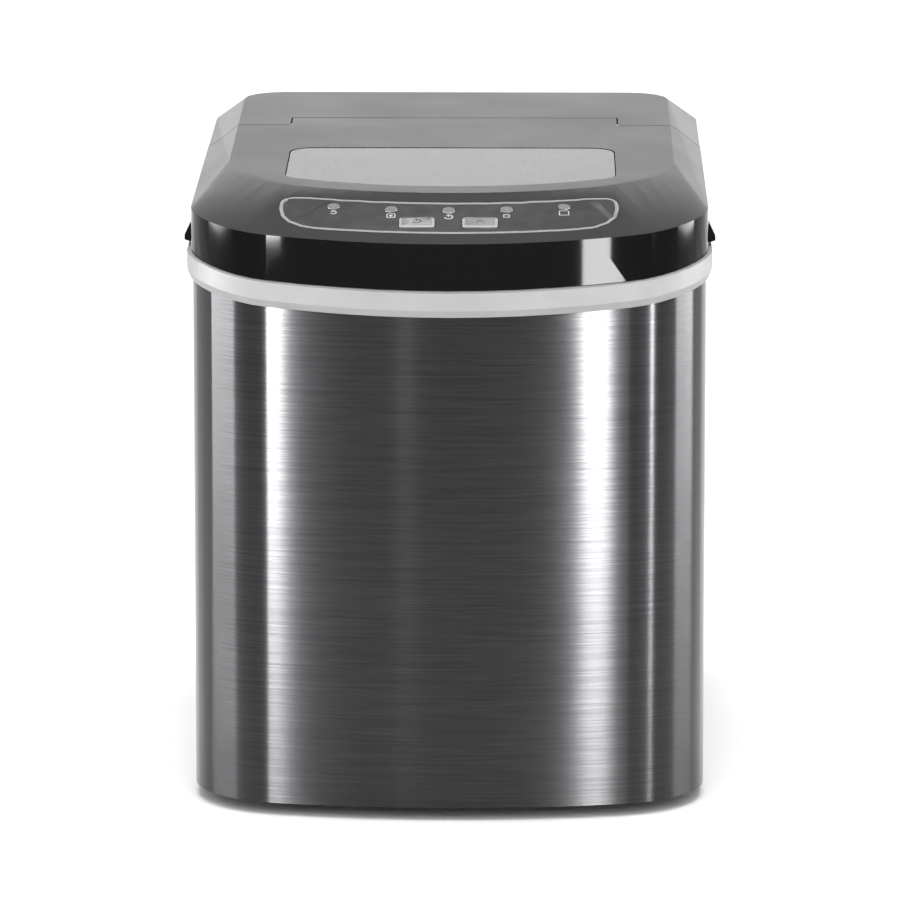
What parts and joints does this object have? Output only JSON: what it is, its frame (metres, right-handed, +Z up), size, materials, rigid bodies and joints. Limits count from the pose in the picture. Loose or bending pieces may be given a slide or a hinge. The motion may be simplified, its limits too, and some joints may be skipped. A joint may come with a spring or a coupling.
{
  "type": "ice maker",
  "caption": "Countertop ice maker: bowed steel cabinet, pale trim ring, hinged black lid with window and control strip, ice basket, water tray and cooling works inside.",
  "frame": {"origin": "on the floor, under the middle of the cabinet", "axes": "+X to the right as seen from the front, +Y from front to back, +Z up"},
  "size_m": [0.256, 0.358, 0.305],
  "materials": {
    "brushed_steel": "vertical bands of shine over fine level brushing",
    "satin_black": "black, glossy on the front band and satin on top",
    "panel_black": "matt black",
    "label_black": "satin dark grey printed label",
    "trim_white": "pale satin",
    "tub_white": "white satin",
    "foam_white": "white bead foam",
    "button_grey": "light grey satin",
    "clear_window": "clear glossy plastic",
    "clear_hose": "clear soft hose",
    "rubber": "matt black rubber",
    "nickel": "nickel plated",
    "zinc_steel": "zinc plated",
    "fin_aluminium": "bare aluminium",
    "compressor_black": "satin black enamel",
    "copper": "drawn copper",
    "circuit_board": "green solder mask"
  },
  "bodies": {
    "cabinet": {"base_pan": "panel_black", "foot_front_left": "rubber", "foot_front_right": "rubber", "foot_rear_left": "rubber", "foot_rear_right": "rubber", "steel_wrap": "brushed_steel", "rear_panel": "panel_black", "top_ring": "trim_white", "ice_tub": "tub_white", "foam_cradle": "foam_white", "partition": "zinc_steel", "rear_cover": "satin_black", "hinge_pin_left": "zinc_steel", "hinge_pin_right": "zinc_steel", "rear_screw_low_left": "zinc_steel", "rear_screw_low_right": "zinc_steel", "rear_screw_high_left": "zinc_steel", "rear_screw_high_right": "zinc_steel", "cord_gland": "rubber", "drain_hose": "clear_hose", "evaporator": "nickel", "evaporator_frame": "tub_white", "tray_motor": "zinc_steel", "water_pump": "panel_black", "water_hose": "clear_hose", "ice_sensor_left": "tub_white", "ice_sensor_right": "tub_white", "compressor": "compressor_black", "terminal_cover": "panel_black", "compressor_mount_front": "rubber", "compressor_mount_left": "rubber", "compressor_mount_right": "rubber", "condenser": "fin_aluminium", "fan_shroud": "panel_black", "fan_motor": "zinc_steel", "filter_drier": "copper", "hot_gas_valve": "compressor_black", "discharge_line": "copper", "hot_gas_line": "copper", "liquid_line": "copper", "capillary_tube": "copper", "suction_line": "copper", "power_board": "circuit_board"},
    "lid": {"lid_cover": "satin_black", "lid_liner": "tub_white", "lid_window": "clear_window", "control_label": "label_black", "control_board": "circuit_board", "water_lamp": "button_grey", "ice_full_lamp": "button_grey", "power_lamp": "button_grey", "small_lamp": "button_grey", "large_lamp": "button_grey"},
    "on_off_cap": {"on_off_button": "button_grey"},
    "select_cap": {"select_button": "button_grey"},
    "tray": {"water_tray": "tub_white"},
    "shovel": {"ice_shovel": "tub_white"},
    "basket": {"ice_basket": "tub_white"},
    "fan": {"fan_blade": "panel_black"},
    "drain_plug": {"drain_cap": "tub_white"}
  },
  "joints": [
    {"name": "lid_hinge", "type": "hinge", "parent": "cabinet", "child": "lid", "pos_m": [0, 0.0768, 0.29869], "axis": [-1, 0, 0], "range_deg": [0, 98]},
    {"name": "on_off_press", "type": "slide", "parent": "lid", "child": "on_off_cap", "axis": [0.012, 0.3356, -0.9419], "range_m": [0, 0.0006], "stiffness_N_per_m": 400},
    {"name": "select_press", "type": "slide", "parent": "lid", "child": "select_cap", "axis": [-0.002, 0.3366, -0.9416], "range_m": [0, 0.0006], "stiffness_N_per_m": 400},
    {"name": "tray_tilt", "type": "hinge", "parent": "cabinet", "child": "tray", "pos_m": [0, -0.0162, 0.19683], "axis": [1, 0, 0], "range_deg": [0, 75]},
    {"name": "shovel_swing", "type": "hinge", "parent": "cabinet", "child": "shovel", "pos_m": [0, -0.0162, 0.19683], "axis": [1, 0, 0], "range_deg": [0, 26.5]},
    {"name": "basket_lift", "type": "slide", "parent": "cabinet", "child": "basket", "axis": [0, 0, 1], "range_m": [0, 0.06]},
    {"name": "fan_spin", "type": "hinge", "parent": "cabinet", "child": "fan", "pos_m": [0.062, 0.1268, 0.112], "axis": [0, 1, 0], "continuous": true},
    {"name": "drain_cap_pull", "type": "slide", "parent": "cabinet", "child": "drain_plug", "axis": [0, 1, 0], "range_m": [0, 0.025]}
  ],
  "couplings": [
    {"joint": "shovel_swing", "follows": "tray_tilt", "ratio": 0.35}
  ]
}
